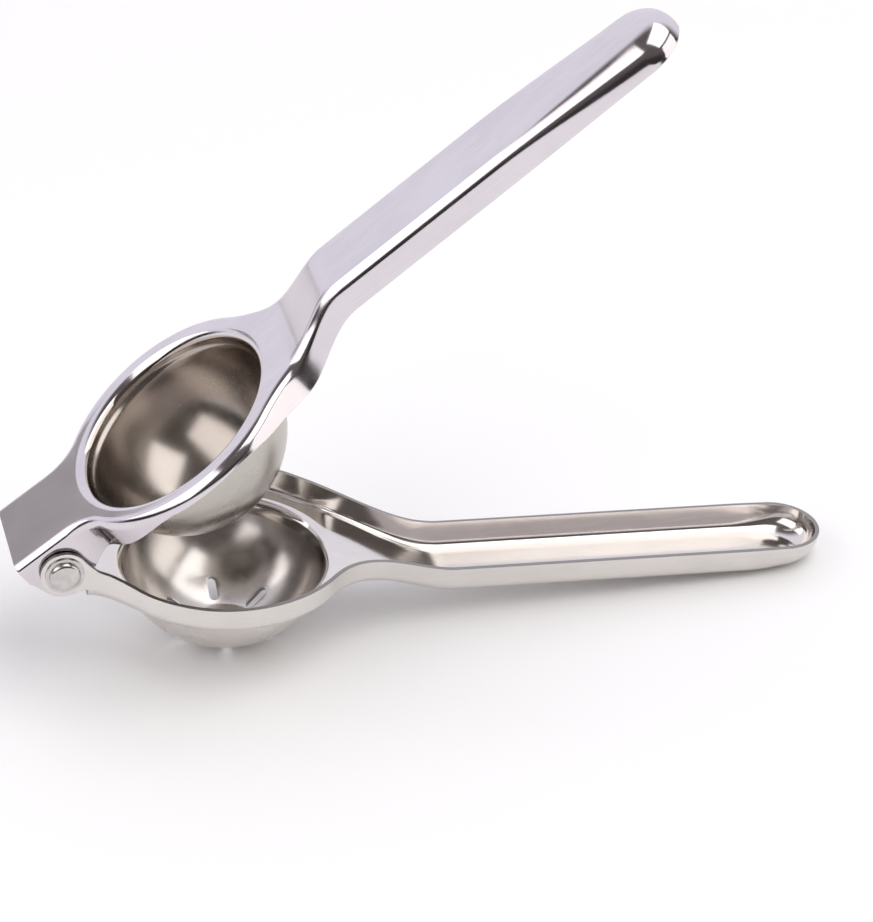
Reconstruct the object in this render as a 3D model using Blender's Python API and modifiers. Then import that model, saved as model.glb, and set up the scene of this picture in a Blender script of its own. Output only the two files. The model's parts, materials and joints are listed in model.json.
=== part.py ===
"""Two-arm citrus press: a stamped press arm and a stamped bowl arm on one riveted hinge.

Lengths are written in millimetres and turned into metres by MM.
The hinge axis runs along Y. Each arm is described in its own frame:
x runs from the hinge towards the handle end, y across, h outwards from the hinge axis.
"""
import math

import bmesh
import bpy
from mathutils import Vector

MM = 0.001

# ---- the sheet and the two arms -------------------------------------------------
SHEET = 1.2                 # sheet thickness
BULGE_X = 45.6              # hinge axis to the middle of cup and bowl
BULGE_R = 35.0              # outline radius round cup and bowl
HANDLE_HALF = 11.4          # half width of a handle
NECK_BLEND = 44.0           # plan fillet between bulge and handle

PRESS = dict(
    nose_half=14.7,         # half width over the ears
    nose_blend=12.0,        # plan fillet between nose and bulge
    ear_x=(-9.0, -8.2, -7.4, -6.5, -5.1, -3.2, -1.1, 1.1, 3.2, 4.5, 5.6, 8.0, 10.2, 12.4, 14.5),
    end=212.8,              # hinge axis to the handle end
    plate=9.4,              # plate face to the hinge axis
    front_fold=2.2,         # outer fold radius at the ears
    neck=(80.0, 104.0, 8.0),    # start, end and rise of the step behind the cup
    flare=2.0,              # handle angle to the plate, degrees
)
BOWL = dict(
    nose_half=16.35,
    nose_blend=15.0,
    ear_x=(6.2, 7.8, 9.5, 12.0, 14.5),
    end=214.3,
    plate=11.3,
    front_fold=5.4,
    neck=(72.0, 108.0, 10.6),
    flare=2.8,
)

# ---- drawn cup and bowl -----------------------------------------------------------
CUP_R = 27.0                # inside radius of the press cup
CUP_MOUTH = 27.8            # radius where the mouth fillet ends
CUP_DEPTH = 4.8             # plate face to the cup's sphere centre
CUP_FILLET = 2.8
BOWL_R = 29.5               # outside radius of the bowl
BOWL_RISE = 6.7             # plate face to the bowl's sphere centre
BOWL_FILLET = 2.0
FOOT_R = 8.0                # flat foot under the bowl
SLOTS = 6                   # juice slots round the foot
SLOT_WIDTH = 2.6
SLOT_IN = 9.6
SLOT_OUT = 16.4

# ---- hinge --------------------------------------------------------------------------
PIN_R = 2.5
PIN_CLEAR = 0.1             # running clearance in the ears
HEAD_R = 4.15
HEAD_H = 1.3
WASHER_R = 5.2
WASHER_T = 0.5
SEAT = 0.05                 # play between stacked hinge pieces
SLEEVE_R = 3.7
SLEEVE_BORE = 2.62
LOBE_R = 6.4                # rounded ear end on the bowl arm
EAR_R = 7.9                 # rounded ear end on the press arm
OPENING = 37.6              # angle between the two plates as stored, degrees

ROWS = 2                    # web rows from fold to centre line
RIM_ROWS = 1                # web rings between outline block and cup fillet
FOLD_STEPS = 3


def rest_tilt():
    """Tilt that puts the bowl's foot and the handle's heel on one level plane, radians."""
    foot = BOWL["plate"] - BOWL_RISE + math.sqrt(BOWL_R ** 2 - FOOT_R ** 2)
    heel_x = BOWL["end"] - fold_radius(BOWL, BOWL["end"])
    return math.atan2(foot - face_height(BOWL, heel_x), heel_x - BULGE_X)


def clear_scene():
    for obj in list(bpy.data.objects):
        bpy.data.objects.remove(obj, do_unlink=True)


def smooth(t):
    t = min(max(t, 0.0), 1.0)
    return t * t * (3.0 - 2.0 * t)


def mix(a, b, t):
    return a + (b - a) * t


def material(name, colour, roughness, metallic):
    mat = bpy.data.materials.new(name)
    mat.use_nodes = True
    shader = mat.node_tree.nodes["Principled BSDF"]
    shader.inputs["Base Color"].default_value = (*colour, 1.0)
    shader.inputs["Roughness"].default_value = roughness
    shader.inputs["Metallic"].default_value = metallic
    return mat


# ---- plan outline ------------------------------------------------------------------
def blend_points(arm):
    """x where the nose blend starts and ends, and where the neck blend starts and ends."""
    nose, blend = arm["nose_half"], arm["nose_blend"]
    start = BULGE_X - math.sqrt((BULGE_R + blend) ** 2 - (nose + blend) ** 2)
    end = BULGE_X + math.sqrt((BULGE_R + NECK_BLEND) ** 2 - (HANDLE_HALF + NECK_BLEND) ** 2)
    nose_in = start + (BULGE_X - start) * blend / (BULGE_R + blend)
    neck_in = end + (BULGE_X - end) * NECK_BLEND / (BULGE_R + NECK_BLEND)
    return start, nose_in, neck_in, end


def half_width(arm, x):
    start, nose_in, neck_in, end = blend_points(arm)
    nose, blend = arm["nose_half"], arm["nose_blend"]
    if x <= start:
        return nose
    if x < nose_in:
        return nose + blend - math.sqrt(blend ** 2 - (x - start) ** 2)
    if x < neck_in:
        return math.sqrt(BULGE_R ** 2 - (x - BULGE_X) ** 2)
    if x < end:
        return HANDLE_HALF + NECK_BLEND - math.sqrt(NECK_BLEND ** 2 - (x - end) ** 2)
    return HANDLE_HALF


def outline_x(arm):
    """Station positions along the straight part of the outline, nose to handle end."""
    _, nose_in, neck_in, _ = blend_points(arm)
    stops = list(arm["ear_x"]) + [nose_in]
    a0 = math.acos((nose_in - BULGE_X) / BULGE_R)
    a1 = math.acos((neck_in - BULGE_X) / BULGE_R)
    stops += [BULGE_X + BULGE_R * math.cos(mix(a0, a1, k / 12)) for k in range(1, 13)]
    neck0, neck1, _ = arm["neck"]
    stops += [mix(neck_in, neck0, k / 3) for k in range(1, 4)]
    stops += [mix(neck0, neck1, k / 6) for k in range(1, 7)]
    tip = arm["end"] - HANDLE_HALF
    stops += [mix(neck1, tip, k / 4) for k in range(1, 5)]
    return stops


def stations(arm):
    """(x, y, nx, ny) round half the outline, nose to the middle of the handle end."""
    points = []
    for x in outline_x(arm):
        slope = (half_width(arm, x + 0.05) - half_width(arm, x - 0.05)) / 0.1
        length = math.hypot(slope, 1.0)
        points.append((x, half_width(arm, x), -slope / length, 1.0 / length))
    tip = arm["end"] - HANDLE_HALF
    for k in range(1, 7):
        angle = math.radians(90.0 - 15.0 * k)
        nx, ny = math.cos(angle), math.sin(angle)
        points.append((tip + HANDLE_HALF * nx, HANDLE_HALF * ny, nx, ny))
    return points


# ---- side profile ------------------------------------------------------------------
def face_height(arm, x):
    """Plate face to the hinge axis, along the arm."""
    neck0, neck1, rise = arm["neck"]
    height = arm["plate"] + rise * smooth((x - neck0) / (neck1 - neck0))
    return height + max(0.0, x - 0.5 * (neck0 + neck1)) * math.tan(math.radians(arm["flare"]))


def fold_radius(arm, x):
    """Outer radius of the fold: it settles behind the ears and grows round the handle end."""
    body = mix(arm["front_fold"], 2.8, smooth((x - 6.0) / 20.0))
    return body + 0.6 * smooth((x - 75.0) / 30.0) + 3.8 * smooth((x - arm["end"] + 22.0) / 20.0)


def draft(x):
    """Outward lean of the wall: none at the ears, full round the bulge and the handle."""
    return math.radians(7.0 * smooth((x - 13.0) / 28.0))


def press_edge(x):
    """Free edge of the press arm's skirt, as height over the hinge axis."""
    if x < -6.5:
        return mix(3.0, -math.sqrt(EAR_R ** 2 - 6.5 ** 2), smooth((x + 9.0) / 2.5))
    if x < 5.6:
        return -math.sqrt(EAR_R ** 2 - x * x)
    low = -math.sqrt(EAR_R ** 2 - 5.6 ** 2)
    if x < 14.5:
        return mix(low, face_height(PRESS, 14.5) - 9.2, (x - 5.6) / 8.9)
    shallow = smooth((x - 14.5) / 22.0) * (1.0 - smooth((x - 55.0) / 31.0))
    return face_height(PRESS, x) - (9.2 - 6.1 * shallow - 0.7 * smooth((x - 70.0) / 30.0))


def bowl_edge(x):
    """Free edge of the bowl arm's wall, as height over the hinge axis (outwards)."""
    if x < 6.0:
        return -math.sqrt(LOBE_R ** 2 - x * x)
    if x < 9.5:
        return mix(-math.sqrt(LOBE_R ** 2 - 36.0), face_height(BOWL, 9.5) - 8.6, smooth((x - 6.0) / 3.5))
    return face_height(BOWL, x) - 7.6 - 1.0 * (1.0 - smooth((x - 9.5) / 12.0)) - 0.7 * smooth((x - 80.0) / 25.0)


# ---- shells --------------------------------------------------------------------------
class Shell:
    """Collects the open outer skin of half an arm (y >= 0)."""

    def __init__(self):
        self.mesh = bmesh.new()
        self.found = {}

    def point(self, x, y, h):
        key = (round(x, 4), round(y, 4), round(h, 4))
        if key not in self.found:
            self.found[key] = self.mesh.verts.new((x * MM, y * MM, h * MM))
        return self.found[key]

    def strip(self, first, second):
        """Quads between two equally long rows of points."""
        for k in range(len(first) - 1):
            corners = []
            for p in (first[k], first[k + 1], second[k + 1], second[k]):
                vert = self.point(*p)
                if vert not in corners:
                    corners.append(vert)
            if len(corners) > 2:
                self.mesh.faces.new(corners)


def wall_column(arm, station, edge, steps):
    """Points from the wall's free edge up the fold to the start of the flat web."""
    x, y, nx, ny = station
    radius = fold_radius(arm, x)
    lean = draft(x)
    start = -radius * (1.0 - math.sin(lean))
    low = edge(x) - face_height(arm, x)
    offsets = []
    for k in range(steps):
        drop = mix(low, start, k / steps)
        offsets.append(((start - drop) * math.tan(lean) - radius * (1.0 - math.cos(lean)), drop))
    for k in range(FOLD_STEPS + 1):
        angle = mix(lean, math.pi / 2, k / FOLD_STEPS)
        offsets.append((-radius * (1.0 - math.cos(angle)), -radius * (1.0 - math.sin(angle))))
    return [(x + nx * out, y + ny * out, face_height(arm, x + nx * out) + drop) for out, drop in offsets]


def cup_profile():
    """(radius, depth below the plate face) of the press cup, rim to pole."""
    rows = []
    for k in range(0, 4):
        angle = math.radians(90.0 - 30.0 * k)
        rows.append((CUP_MOUTH + CUP_FILLET * (1.0 - math.cos(angle)), -CUP_FILLET * (1.0 - math.sin(angle))))
    for k in range(0, 8):
        angle = math.radians(90.0 * k / 8)
        rows.append((CUP_R * math.cos(angle), -CUP_DEPTH - CUP_R * math.sin(angle)))
    return rows, -CUP_DEPTH - CUP_R


def bowl_profile():
    """(radius, height beyond the plate face) of the bowl, rim to foot."""
    reach = BOWL_R + BOWL_FILLET
    drop = BOWL_FILLET + BOWL_RISE
    centre = math.sqrt(reach ** 2 - drop ** 2)
    end = math.asin(drop / reach)
    rows = []
    for k in range(0, 3):
        angle = mix(math.pi / 2, end, k / 2)
        rows.append((centre - BOWL_FILLET * math.cos(angle), BOWL_FILLET * (1.0 - math.sin(angle))))
    foot = math.acos(FOOT_R / BOWL_R)
    for k in range(1, 7):
        angle = mix(end, foot, k / 6)
        rows.append((BOWL_R * math.cos(angle), BOWL_R * math.sin(angle) - BOWL_RISE))
    rows.append((FOOT_R * 0.5, rows[-1][1]))
    return rows, rows[-1][1]


def drawn_ring(plate, profile_row, half_steps, tilt):
    """Half a ring of the drawn cup or bowl; the foot ring leans with the table plane."""
    radius, height = profile_row
    ring = []
    for k in range(half_steps + 1):
        angle = math.pi * (1.0 - k / half_steps)
        x = BULGE_X + radius * math.cos(angle)
        y = radius * math.sin(angle)
        h = plate + height
        if tilt:
            h += (x - BULGE_X) * tilt
        ring.append((x, y if 0 < k < half_steps else 0.0, h))
    return ring


def web_row(arm, edge_point, centre_x, steps):
    """Points from the fold's end to the centre line."""
    ex, ey, eh = edge_point
    row = []
    for k in range(steps + 1):
        t = k / steps
        x = mix(ex, centre_x, t)
        row.append((x, ey * (1.0 - t), eh if k == 0 else face_height(arm, x)))
    return row


def arm_shell(arm, edge, profile, pole, foot_tilt):
    """Half an arm: wall, fold, flat web and the drawn cup or bowl."""
    shell = Shell()
    points = stations(arm)
    tip = arm["end"] - HANDLE_HALF
    columns = [wall_column(arm, station, edge, 2) for station in points]
    for k in range(len(columns) - 1):
        shell.strip(columns[k], columns[k + 1])

    edges = [column[-1] for column in columns]
    xs = [min(station[0], tip) for station in points]
    first = max(k for k, x in enumerate(xs) if x < BULGE_X - BULGE_R + 3.5)
    last = min(k for k, x in enumerate(xs) if x > BULGE_X + BULGE_R - 1.0)
    rows = [web_row(arm, edges[k], xs[k], ROWS) for k in range(len(points))]
    for k in range(len(points) - 1):
        if k < first or k >= last:
            shell.strip(rows[k], rows[k + 1])

    block = list(reversed(rows[first])) + edges[first + 1:last] + rows[last]
    rings = [drawn_ring(arm["plate"], row, len(block) - 1, 0.0) for row in profile]
    if foot_tilt:
        for index in (-2, -1):
            rings[index] = drawn_ring(arm["plate"], profile[index], len(block) - 1, foot_tilt)
    for k in range(RIM_ROWS):
        near = [tuple(mix(a, b, k / RIM_ROWS) for a, b in zip(p, q)) for p, q in zip(block, rings[0])]
        far = [tuple(mix(a, b, (k + 1) / RIM_ROWS) for a, b in zip(p, q)) for p, q in zip(block, rings[0])]
        shell.strip(near, far)
    for k in range(len(rings) - 1):
        shell.strip(rings[k], rings[k + 1])
    middle = (BULGE_X, 0.0, arm["plate"] + pole)
    shell.strip(rings[-1], [middle] * len(rings[-1]))
    return shell


def add_ears(shell, arm, edge):
    """Flat ears of the bowl arm in front of its web, ending in a round lobe."""
    y = arm["nose_half"]
    web_x = arm["ear_x"][0]
    start = face_height(arm, web_x) - fold_radius(arm, web_x)
    xs = [-LOBE_R * math.cos(math.radians(a)) for a in (8, 22, 38, 54, 70, 84)]
    xs += [1.0, 2.7, 4.4, web_x]
    columns = []
    for x in xs:
        low = math.sqrt(LOBE_R ** 2 - min(x, 2.7) ** 2)
        if x > 2.7:
            low = mix(low, start, (x - 2.7) / (web_x - 2.7))
        columns.append([(x, y, mix(edge(x), low, k / 2)) for k in range(3)])
    for k in range(len(columns) - 1):
        shell.strip(columns[k], columns[k + 1])


def finish_shell(shell, name, flip):
    """Turn the half skin into a closed sheet-metal part. flip: h points down (bowl arm)."""
    bm = shell.mesh
    if flip:
        for vert in bm.verts:
            vert.co.z = -vert.co.z
    bmesh.ops.recalc_face_normals(bm, faces=bm.faces)
    end = max(bm.faces, key=lambda face: face.calc_center_median().x)
    if end.normal.x < 0.0:
        bmesh.ops.reverse_faces(bm, faces=bm.faces)
    mesh = bpy.data.meshes.new(name)
    bm.to_mesh(mesh)
    bm.free()
    obj = bpy.data.objects.new(name, mesh)
    bpy.context.scene.collection.objects.link(obj)
    mirror = obj.modifiers.new("mirror", "MIRROR")
    mirror.use_axis = (False, True, False)
    mirror.use_clip = True
    mirror.merge_threshold = 0.00002
    solid = obj.modifiers.new("sheet", "SOLIDIFY")
    solid.thickness = SHEET * MM
    solid.offset = -1.0
    solid.use_even_offset = True
    for poly in mesh.polygons:
        poly.use_smooth = True
    return obj


def cut(obj, cutter, name):
    """Subtract the cutter, which moves to the hidden collection of cutters."""
    hidden = bpy.data.collections.get("cutters")
    if hidden is None:
        hidden = bpy.data.collections.new("cutters")
        bpy.context.scene.collection.children.link(hidden)
    for collection in list(cutter.users_collection):
        collection.objects.unlink(cutter)
    hidden.objects.link(cutter)
    cutter.hide_render = True
    cutter.display_type = "WIRE"
    modifier = obj.modifiers.new(name, "BOOLEAN")
    modifier.operation = "DIFFERENCE"
    modifier.solver = "EXACT"
    modifier.object = cutter


def cross_rod(name, radius, length, segments):
    """Closed round bar along Y, centred on the hinge axis."""
    bpy.ops.mesh.primitive_cylinder_add(
        vertices=segments, radius=radius * MM, depth=length * MM, rotation=(math.pi / 2, 0.0, 0.0))
    rod = bpy.context.object
    rod.name = name
    bpy.ops.object.transform_apply(rotation=True)
    return rod


def slot_cutter():
    """All juice slots as one closed cutter: rounded bars standing through the bowl floor."""
    bm = bmesh.new()
    length = SLOT_OUT - SLOT_IN - SLOT_WIDTH
    for k in range(SLOTS):
        turn = 2.0 * math.pi * (k + 0.5) / SLOTS
        loop = []
        for side, start in ((1.0, -90.0), (-1.0, 90.0)):
            for step in range(5):
                angle = math.radians(start + 45.0 * step)
                along = 0.5 * (SLOT_IN + SLOT_OUT) + side * 0.5 * length + 0.5 * SLOT_WIDTH * math.cos(angle)
                across = 0.5 * SLOT_WIDTH * math.sin(angle)
                loop.append((along * math.cos(turn) - across * math.sin(turn),
                             along * math.sin(turn) + across * math.cos(turn)))
        low = [bm.verts.new(((BULGE_X + u) * MM, v * MM, -45.0 * MM)) for u, v in loop]
        high = [bm.verts.new(((BULGE_X + u) * MM, v * MM, -15.0 * MM)) for u, v in loop]
        count = len(loop)
        for j in range(count):
            bm.faces.new((low[j], low[(j + 1) % count], high[(j + 1) % count], high[j]))
        bm.faces.new(list(reversed(low)))
        bm.faces.new(high)
    bmesh.ops.recalc_face_normals(bm, faces=bm.faces)
    mesh = bpy.data.meshes.new("slot_cutter")
    bm.to_mesh(mesh)
    bm.free()
    obj = bpy.data.objects.new("slot_cutter", mesh)
    bpy.context.scene.collection.objects.link(obj)
    return obj


def turned(name, profile, segments):
    """Solid of revolution about Y from a (radius, y) profile: a ring, or one that starts and ends at radius 0."""
    mesh = bpy.data.meshes.new(name)
    verts = [(radius * MM, 0.0, y * MM) for radius, y in profile]
    count = len(verts)
    edges = [(k, k + 1) for k in range(count - 1)]
    if profile[0][0] > 0.0:
        edges.append((count - 1, 0))
    mesh.from_pydata(verts, edges, [])
    obj = bpy.data.objects.new(name, mesh)
    bpy.context.scene.collection.objects.link(obj)
    screw = obj.modifiers.new("turn", "SCREW")
    screw.axis = "Z"
    screw.steps = segments
    screw.render_steps = segments
    screw.use_merge_vertices = True
    screw.merge_threshold = 0.00001
    screw.use_smooth_shade = True
    obj.rotation_euler = (math.pi / 2, 0.0, 0.0)
    return obj


def pin_profile(inner, outer):
    """Rivet: domed head, shank, domed head. inner: half length between head seats."""
    rows = [(0.0, outer), (HEAD_R * 0.55, outer - 0.12), (HEAD_R * 0.85, outer - 0.45),
            (HEAD_R, inner + 0.25), (HEAD_R, inner), (PIN_R, inner)]
    return rows + [(radius, -y) for radius, y in reversed(rows)]


def ring_profile(bore, radius, y0, y1):
    return [(radius, y1), (radius, y0), (bore, y0), (bore, y1)]


def build():
    clear_scene()
    steel_press = material("press_steel", (0.78, 0.77, 0.79), 0.16, 1.0)
    steel_bowl = material("bowl_steel", (0.74, 0.73, 0.73), 0.18, 1.0)
    steel_pin = material("pin_steel", (0.70, 0.69, 0.68), 0.25, 1.0)

    root = bpy.data.objects.new("press_root", None)
    hinge = bpy.data.objects.new("hinge_axis", None)
    for empty in (root, hinge):
        bpy.context.scene.collection.objects.link(empty)
    root.rotation_euler = (0.0, rest_tilt(), 0.0)
    hinge.parent = root
    hinge.rotation_euler = (0.0, math.radians(-OPENING), 0.0)

    rows, pole = cup_profile()
    shell = arm_shell(PRESS, press_edge, rows, pole, 0.0)
    press = finish_shell(shell, "press_arm", False)
    rows, pole = bowl_profile()
    shell = arm_shell(BOWL, bowl_edge, rows, pole, -math.tan(rest_tilt()))
    add_ears(shell, BOWL, bowl_edge)
    bowl = finish_shell(shell, "bowl_arm", True)
    press.data.materials.append(steel_press)
    bowl.data.materials.append(steel_bowl)

    cut(press, cross_rod("press_bore", PIN_R + PIN_CLEAR, 50.0, 32), "pin_bore")
    cut(bowl, cross_rod("bowl_bore", PIN_R + PIN_CLEAR, 50.0, 32), "pin_bore")
    cut(bowl, slot_cutter(), "juice_slots")

    ear_face = BOWL["nose_half"]
    seat = ear_face + 2.0 * SEAT + WASHER_T
    pin = turned("hinge_pin", pin_profile(seat, seat + HEAD_H), 32)
    front = turned("washer_front", ring_profile(PIN_R + PIN_CLEAR, WASHER_R, ear_face + SEAT,
                                                ear_face + SEAT + WASHER_T), 32)
    rear = turned("washer_rear", ring_profile(PIN_R + PIN_CLEAR, WASHER_R, -ear_face - SEAT - WASHER_T,
                                              -ear_face - SEAT), 32)
    half = PRESS["nose_half"] - SHEET - 0.15
    sleeve = turned("spacer_sleeve", ring_profile(SLEEVE_BORE, SLEEVE_R, -half, half), 32)
    for obj in (pin, front, rear, sleeve):
        obj.data.materials.append(steel_pin)
        obj.parent = root
    bowl.parent = root
    press.parent = hinge
    for cutter in bpy.data.collections["cutters"].objects:
        cutter.parent = hinge if cutter.name == "press_bore" else root

    bpy.context.view_layer.update()
    graph = bpy.context.evaluated_depsgraph_get()
    corners = []
    for obj in (press, bowl, pin):
        shape = obj.evaluated_get(graph)
        mesh = shape.to_mesh()
        corners += [shape.matrix_world @ vert.co for vert in mesh.vertices]
        shape.to_mesh_clear()
    low = Vector([min(c[k] for c in corners) for k in range(3)])
    high = Vector([max(c[k] for c in corners) for k in range(3)])
    root.location = (-0.5 * (low.x + high.x), 0.0, -low.z)


build()
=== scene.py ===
"""Looks of the citrus press: both stampings and the riveted hinge in polished stainless steel.

Lengths are in millimetres in each arm's own frame and turn into metres on the meshes.
Arm frame: x from the hinge towards the handle end, y across, h outwards from the hinge axis.
"""
import json
import math

import bmesh
import bpy
from mathutils import Matrix, Vector


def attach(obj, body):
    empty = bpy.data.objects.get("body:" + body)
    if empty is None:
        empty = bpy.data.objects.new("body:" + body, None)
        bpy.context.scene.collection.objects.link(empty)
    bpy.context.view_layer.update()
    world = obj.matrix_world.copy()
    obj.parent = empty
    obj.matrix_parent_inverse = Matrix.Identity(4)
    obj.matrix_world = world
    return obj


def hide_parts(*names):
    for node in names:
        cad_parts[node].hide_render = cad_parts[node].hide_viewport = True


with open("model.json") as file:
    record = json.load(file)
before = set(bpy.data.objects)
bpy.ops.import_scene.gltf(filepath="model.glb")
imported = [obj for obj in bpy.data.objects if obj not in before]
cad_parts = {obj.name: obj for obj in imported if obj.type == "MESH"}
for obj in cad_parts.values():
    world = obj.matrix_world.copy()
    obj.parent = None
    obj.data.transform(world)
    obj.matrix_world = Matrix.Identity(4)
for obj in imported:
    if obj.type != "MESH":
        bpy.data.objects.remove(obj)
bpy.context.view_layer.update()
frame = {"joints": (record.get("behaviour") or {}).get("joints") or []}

MM = 0.001

# ---- driving dimensions of the two arms --------------------------------------------------
SHEET = 1.2                 # sheet thickness
BULGE_X = 45.6              # hinge axis to the cup's centre
BULGE_R = 35.0              # outline round the cup
HANDLE_HALF = 11.4          # half width of the handle
NECK_BLEND = 44.0           # plan fillet between bulge and handle
PRESS = dict(
    nose_half=14.7,         # half width over the ears
    nose_blend=12.0,        # plan fillet between nose and bulge
    start=-9.0,             # hinge axis to the front of the web
    end=212.8,              # hinge axis to the handle end
    plate=9.4,              # plate face to the hinge axis
    front_fold=2.2,         # outer fold radius at the ears
    neck=(80.0, 104.0, 8.0),    # start, end and rise of the step behind the cup
    flare=2.0,              # handle angle to the plate, degrees
    lip=0.0,                # how far the web's front bends towards the hinge axis
    swell=(58.0, 4.8),      # length over which the fold grows at the handle end, and by how much
)
BOWL = dict(
    nose_half=16.35,
    nose_blend=15.0,
    start=6.2,
    end=214.3,
    plate=11.3,
    front_fold=3.2,
    neck=(72.0, 108.0, 10.6),
    flare=2.8,
    lip=2.6,
    swell=(23.0, 4.0),
)
LIP_RUN = 12.0              # length of that bend
NECK_SOFT = 8.0             # half the length over which the handle's flare sets in
FOLD_R = 2.8                # outer fold radius beside the cup
FOLD_GROWTH = 0.6           # growth of the fold along the neck
SWELL_END = 3.0             # last stretch of the handle, where the fold no longer grows
DRAFT = 7.0                 # lean of the walls beside and behind the cup, degrees
PRESS_WALL = 9.2            # depth of the press arm's walls
PRESS_WALL_CUT = 6.1        # how much shallower they are beside the cup
PRESS_WALL_HANDLE = 0.7     # and on the handle
BOWL_WALL = 7.6             # depth of the bowl arm's walls
BOWL_WALL_FRONT = 1.0       # how much deeper they are at the ears
BOWL_WALL_HANDLE = 0.7      # and on the handle
EDGE_EASE = 1.1             # reach over which the walls' free edge is eased

# ---- where the sections change, from the hinge axis along the arm ------------------------
EASE_RUN = (2.0, 6.0)       # the free edge's easing sets in
FOLD_RUN = (6.0, 26.0)      # the fold takes its radius beside the cup
FOLD_NECK_RUN = (75.0, 105.0)   # and grows along the neck
DRAFT_RUN = (13.0, 41.0)    # the walls begin to lean
CUT_START = (14.5, 36.5)    # the press arm's walls become shallow beside the cup
CUT_STOP = (55.0, 86.0)     # and deep again
PRESS_HANDLE_RUN = (70.0, 100.0)    # they take their depth on the handle
BOWL_EAR_RUN = (9.5, 21.5)  # the bowl arm's walls take their depth beside the bowl
BOWL_HANDLE_RUN = (80.0, 105.0)     # and on the handle

# ---- drawn cup and bowl -----------------------------------------------------------------
CUP_R = 27.0                # inside radius of the press cup
CUP_MOUTH = 27.8            # radius where the mouth fillet ends
CUP_DEPTH = 4.8             # plate face to the cup's sphere centre
CUP_FILLET = 2.8
BOWL_R = 29.5               # outside radius of the bowl
BOWL_RISE = 6.7             # plate face to the bowl's sphere centre
BOWL_FILLET = 2.0
FOOT_R = 8.0                # flat foot under the bowl
FOOT_SOFT = 0.12            # half the height over which the foot blends into the bowl
SLOTS = 6                   # juice slots round the foot
SLOT_WIDTH = 2.6
SLOT_IN = 9.6
SLOT_OUT = 16.4

# ---- hinge --------------------------------------------------------------------------------
PIN_R = 2.5                 # shank of the rivet
BORE_R = 2.6                # holes in ears and washers
HEAD_R = 4.15               # rivet head over its rolled shoulder
HEAD_H = 1.3
DOME_R = 2.9                # nearly flat middle of the rivet head
DOME_DROP = 0.10
SHOULDER_WIDTH = 1.25       # rolled shoulder round it
SHOULDER_DROP = 0.95
HEAD_CHAMFER = 0.12         # under the head's rim
SHANK_CHAMFER = 0.1         # where the shank meets the head
WASHER_R = 5.2
WASHER_T = 0.5
WASHER_ROUND = 0.12
SEAT = 0.05                 # play between stacked hinge pieces
SLEEVE_R = 3.7
SLEEVE_BORE = 2.62
SLEEVE_PLAY = 0.15          # sleeve end to the press arm's ear
SLEEVE_ROUND = 0.2
LOBE_R = 6.4                # rounded ear end on the bowl arm
LOBE_REAR = 6.0             # where the ear's free edge leaves the lobe
LOBE_TOP = 2.7              # and where its edge towards the web does
EAR_R = 7.9                 # rounded ear end on the press arm
EAR_FRONT = 6.5             # where its edge joins the arc, in front of the hinge axis
EAR_REAR = 5.6              # and where it leaves it, behind the axis
NOSE_EDGE = 3.0             # height of the edge at the very front
OPENING = 37.6              # angle between the two plates as stored, degrees

# ---- mesh density -----------------------------------------------------------------------
WALL_ROWS = 6               # rows up a wall
FOLD_ROWS = 9               # rows round a fold
WEB_ROWS = 8                # rows from fold to centre line
RIM_ROWS = 4                # rings between the bulge's outline and the mouth fillet
NOSE_STEP = 0.75            # length of a step along the nose
BULGE_STEPS = 56            # steps along the bulge
NECK_STEPS = 34
HANDLE_STEPS = 40
TIP_STEPS = 18              # steps round a quarter of the handle end
EAR_STEPS = 5               # steps from the bowl arm's lobe to its web
HALF_RING = BULGE_STEPS + 2 * WEB_ROWS      # steps along half a ring of the cup or bowl
FRONT_ROW_X = 13.6          # where the web gives way to rings round the cup
REAR_ROW_X = 80.4
NECK_END_X = 116.0          # where the neck's steps give way to the handle's
SLOPE_STEP = 0.25           # half the length over which the outline's slope is measured
CUP_FILLET_ROWS = 8
MOUTH_ROWS = 4              # rows from the cup's mouth fillet to its sphere
CUP_ROWS = 30
BOWL_FILLET_ROWS = 6
BOWL_ROWS = 18
SETTLE_ROWS = 9             # rings over which the cup stops following the web
CELL_OUT = 17.2             # ring of cells that holds the juice slots
CELL_IN = 8.8
CELL_SIDE = 8               # steps along the border between two cells
CELL_LAYERS = 5             # layers from a slot to its cell's border
FOOT_RINGS = [CELL_IN - 0.4 * k for k in range(8)] + [4.5, 3.0, 1.5]
EDGE_ROUND = 0.28           # rounding of sheet edges
EDGE_SEGMENTS = 3
EDGE_ANGLE = 55.0           # least angle that counts as an edge, degrees
WELD = 0.01                 # distance at which the half skin's points merge
MIRROR_WELD = 0.02          # and at which the two halves do
TURNED_STEPS = 96           # steps round a turned piece
HEAD_ROWS = 8               # rows across the flat of the rivet head
SHOULDER_ROWS = 10
ROUND_STEPS = 3             # steps round a washer's or sleeve's edge
BORE_STEPS = 64
CUTTER_LENGTH = 50.0


def smooth(t):
    t = min(max(t, 0.0), 1.0)
    return t * t * (3.0 - 2.0 * t)


def ease(x, start, end):
    """0 before start and 1 after end, with a smooth rise between them."""
    return smooth((x - start) / (end - start))


def mix(a, b, t):
    return a + (b - a) * t


# ---- plan outline -----------------------------------------------------------------------
def blend_points(arm):
    """x where the nose blend starts and ends, and where the neck blend starts and ends."""
    nose, blend = arm["nose_half"], arm["nose_blend"]
    start = BULGE_X - math.sqrt((BULGE_R + blend) ** 2 - (nose + blend) ** 2)
    end = BULGE_X + math.sqrt((BULGE_R + NECK_BLEND) ** 2 - (HANDLE_HALF + NECK_BLEND) ** 2)
    nose_in = start + (BULGE_X - start) * blend / (BULGE_R + blend)
    neck_in = end + (BULGE_X - end) * NECK_BLEND / (BULGE_R + NECK_BLEND)
    return start, nose_in, neck_in, end


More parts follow.
